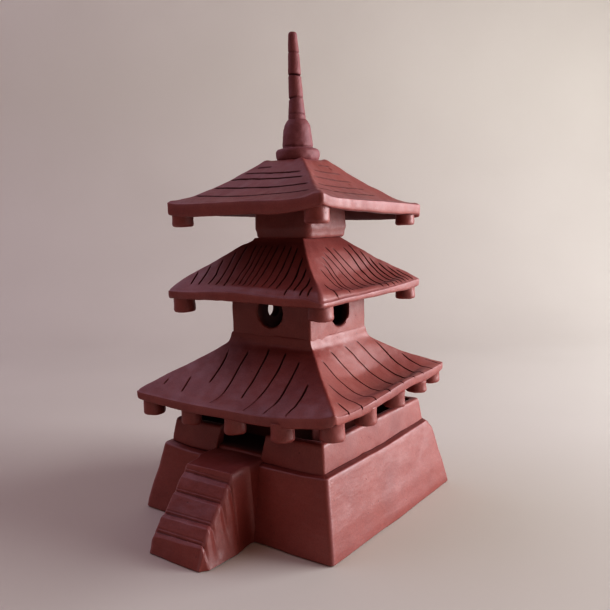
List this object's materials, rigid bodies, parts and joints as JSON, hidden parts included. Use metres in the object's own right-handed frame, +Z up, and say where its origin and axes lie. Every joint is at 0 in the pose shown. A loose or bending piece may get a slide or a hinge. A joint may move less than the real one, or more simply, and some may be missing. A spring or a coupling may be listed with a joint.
{
  "type": "model pagoda",
  "caption": "Hand-built clay model of a pagoda: a hollow battered plinth with a front stair, storeys with round windows, sweeping square roofs on pegs, and a spire.",
  "frame": {"origin": "centre of the bounding box at floor level; the tower's own axis stands 21.5 mm behind it, because the stair projects to the front", "axes": "+Z up along the tower, -Y towards the front with the stair and the doorway, +X to the right of someone at the stair who looks at the front"},
  "size_m": [0.147, 0.19, 0.2996],
  "materials": {
    "plinth_clay": "unglazed matte terracotta, smoothed by hand",
    "stair_clay": "unglazed matte terracotta, softly modelled",
    "wall_clay": "unglazed matte terracotta, smoothed by hand",
    "roof_clay": "unglazed matte terracotta with incised lines",
    "stud_clay": "unglazed matte terracotta",
    "finial_clay": "unglazed matte terracotta with incised rings"
  },
  "bodies": {
    "root": {"finial_bell": "finial_clay", "finial_ring": "finial_clay", "finial_spire": "finial_clay", "lower_back_stud_1": "stud_clay", "lower_back_stud_2": "stud_clay", "lower_back_stud_3": "stud_clay", "lower_corner_stud_1": "stud_clay", "lower_corner_stud_2": "stud_clay", "lower_corner_stud_3": "stud_clay", "lower_corner_stud_4": "stud_clay", "lower_front_stud_1": "stud_clay", "lower_front_stud_2": "stud_clay", "lower_front_stud_3": "stud_clay", "lower_left_stud_1": "stud_clay", "lower_left_stud_2": "stud_clay", "lower_left_stud_3": "stud_clay", "lower_right_stud_1": "stud_clay", "lower_right_stud_2": "stud_clay", "lower_right_stud_3": "stud_clay", "lower_roof": "roof_clay", "middle_corner_stud_1": "stud_clay", "middle_corner_stud_2": "stud_clay", "middle_corner_stud_3": "stud_clay", "middle_corner_stud_4": "stud_clay", "middle_roof": "roof_clay", "plinth_back_wall": "plinth_clay", "plinth_deck": "plinth_clay", "plinth_front_wall": "plinth_clay", "plinth_left_wall": "plinth_clay", "plinth_right_wall": "plinth_clay", "stair_step_1": "stair_clay", "stair_step_2": "stair_clay", "stair_step_3": "stair_clay", "stair_step_4": "stair_clay", "stair_step_5": "stair_clay", "storey1_back_wall": "wall_clay", "storey1_front_wall_left": "wall_clay", "storey1_front_wall_right": "wall_clay", "storey1_left_wall": "wall_clay", "storey1_right_wall": "wall_clay", "storey2_back_wall": "wall_clay", "storey2_front_wall": "wall_clay", "storey2_left_wall": "wall_clay", "storey2_right_wall": "wall_clay", "storey3_band": "wall_clay", "top_corner_stud_1": "stud_clay", "top_corner_stud_2": "stud_clay", "top_corner_stud_3": "stud_clay", "top_corner_stud_4": "stud_clay", "top_roof": "roof_clay"}
  },
  "joints": []
}
